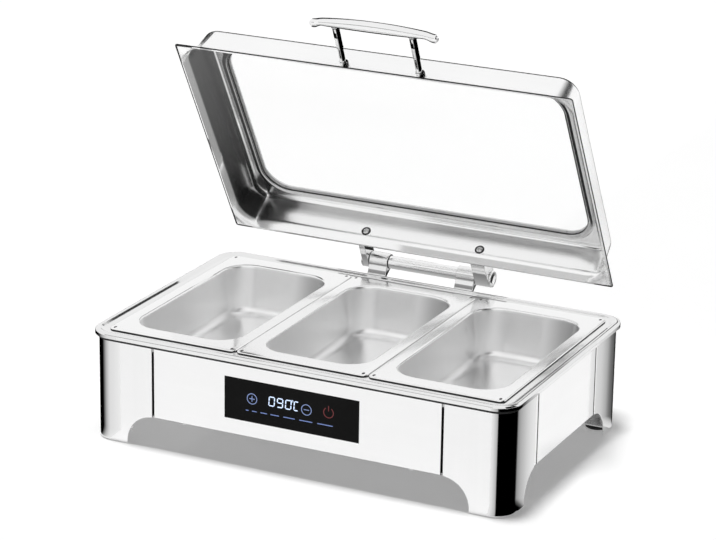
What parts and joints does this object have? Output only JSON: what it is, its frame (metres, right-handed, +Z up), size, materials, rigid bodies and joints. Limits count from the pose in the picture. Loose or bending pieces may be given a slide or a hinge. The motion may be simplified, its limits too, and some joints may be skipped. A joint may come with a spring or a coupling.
{
  "type": "electric chafing dish",
  "caption": "Countertop electric chafing dish: drop-in food pans over a heated water bath in a polished legged case with a touch control glass, under a hinged lid with a window.",
  "frame": {"origin": "on the table, under the middle of the case between the four feet", "axes": "+X to the right as seen from the control glass, +Y to the hinge at the back, +Z up"},
  "size_m": [0.57, 0.3936, 0.5268],
  "materials": {
    "case_steel": "mirror polished stainless steel",
    "panel_steel": "mirror polished stainless steel",
    "rim_steel": "mirror polished stainless steel",
    "pan_steel": "polished stainless steel",
    "bath_steel": "stainless steel, mill finish",
    "lid_steel": "mirror polished stainless steel",
    "retainer_steel": "polished stainless steel",
    "handle_steel": "mirror polished stainless steel",
    "hinge_steel": "polished stainless steel",
    "bracket_steel": "satin stainless steel",
    "screw_steel": "stainless steel screw heads",
    "frame_steel": "plain galvanised sheet",
    "black_glass": "black back-printed touch glass, polished",
    "window_glass": "clear toughened glass",
    "seal_rubber": "grey silicone",
    "foot_rubber": "black rubber, matt",
    "tray_plastic": "black moulded plastic",
    "display_plastic": "dark filter over the figures",
    "board": "green circuit board",
    "spring_metal": "gold plated spring wire",
    "ribbon": "grey flat cable",
    "insulation": "woven mineral fibre mat",
    "reflector": "bright aluminium sheet",
    "heater": "cast aluminium plate",
    "element": "heat-tinted steel sheath",
    "heat_lead": "red silicone insulation",
    "mains": "black sheath",
    "inlet": "black moulded plastic",
    "pin_metal": "nickel plated",
    "brass": "turned brass",
    "damper": "acetal sleeve"
  },
  "bodies": {
    "base": {"leg_front_left": "case_steel", "leg_front_right": "case_steel", "leg_rear_left": "case_steel", "leg_rear_right": "case_steel", "foot_front_left": "foot_rubber", "foot_front_right": "foot_rubber", "foot_rear_left": "foot_rubber", "foot_rear_right": "foot_rubber", "foot_screws": "screw_steel", "front_panel": "panel_steel", "rear_panel": "panel_steel", "left_panel": "panel_steel", "right_panel": "panel_steel", "inner_frame": "frame_steel", "top_rim": "rim_steel", "bottom_plate": "frame_steel", "bottom_screws": "screw_steel", "control_glass": "black_glass", "glass_gasket": "seal_rubber", "control_tray": "tray_plastic", "display_module": "display_plastic", "control_board": "board", "touch_springs": "spring_metal", "ribbon_cable": "ribbon", "insulation_mat": "insulation", "heat_reflector": "reflector", "heating_element": "element", "heater_plate": "heater", "heater_supports": "screw_steel", "temperature_probe": "screw_steel", "thermal_cutout": "damper", "heater_leads": "heat_lead", "power_board": "board", "board_standoffs": "brass", "power_inlet": "inlet", "inlet_pins": "pin_metal", "mains_lead": "mains", "hinge_bracket_left": "bracket_steel", "hinge_bracket_right": "bracket_steel", "bracket_screws": "screw_steel", "hinge_barrel": "hinge_steel", "hinge_bushes": "brass", "hinge_damper": "damper"},
    "lid": {"lid_frame": "lid_steel", "lid_glass": "window_glass", "glass_seal": "seal_rubber", "glass_retainer": "retainer_steel", "handle_grip": "handle_steel", "handle_post_left": "handle_steel", "handle_post_right": "handle_steel", "handle_screws": "screw_steel", "hinge_arm_left": "hinge_steel", "hinge_arm_right": "hinge_steel", "arm_screws": "screw_steel", "hinge_shaft": "hinge_steel", "hinge_caps": "hinge_steel"},
    "water_pan": {"water_pan": "bath_steel"},
    "food_pan_left": {"food_pan_left": "pan_steel"},
    "food_pan_middle": {"food_pan_middle": "pan_steel"},
    "food_pan_right": {"food_pan_right": "pan_steel"}
  },
  "joints": [
    {"name": "lid_hinge", "type": "hinge", "parent": "base", "child": "lid", "pos_m": [0, 0.2015, 0.155], "axis": [-1, 0, 0], "range_deg": [-60, 30]},
    {"name": "water_pan_lift", "type": "slide", "parent": "base", "child": "water_pan", "axis": [0, 0, 1], "range_m": [0, 0.05]},
    {"name": "food_pan_left_lift", "type": "slide", "parent": "water_pan", "child": "food_pan_left", "axis": [0, 0, 1], "range_m": [0, 0.05]},
    {"name": "food_pan_middle_lift", "type": "slide", "parent": "water_pan", "child": "food_pan_middle", "axis": [0, 0, 1], "range_m": [0, 0.05]},
    {"name": "food_pan_right_lift", "type": "slide", "parent": "water_pan", "child": "food_pan_right", "axis": [0, 0, 1], "range_m": [0, 0.05]}
  ]
}
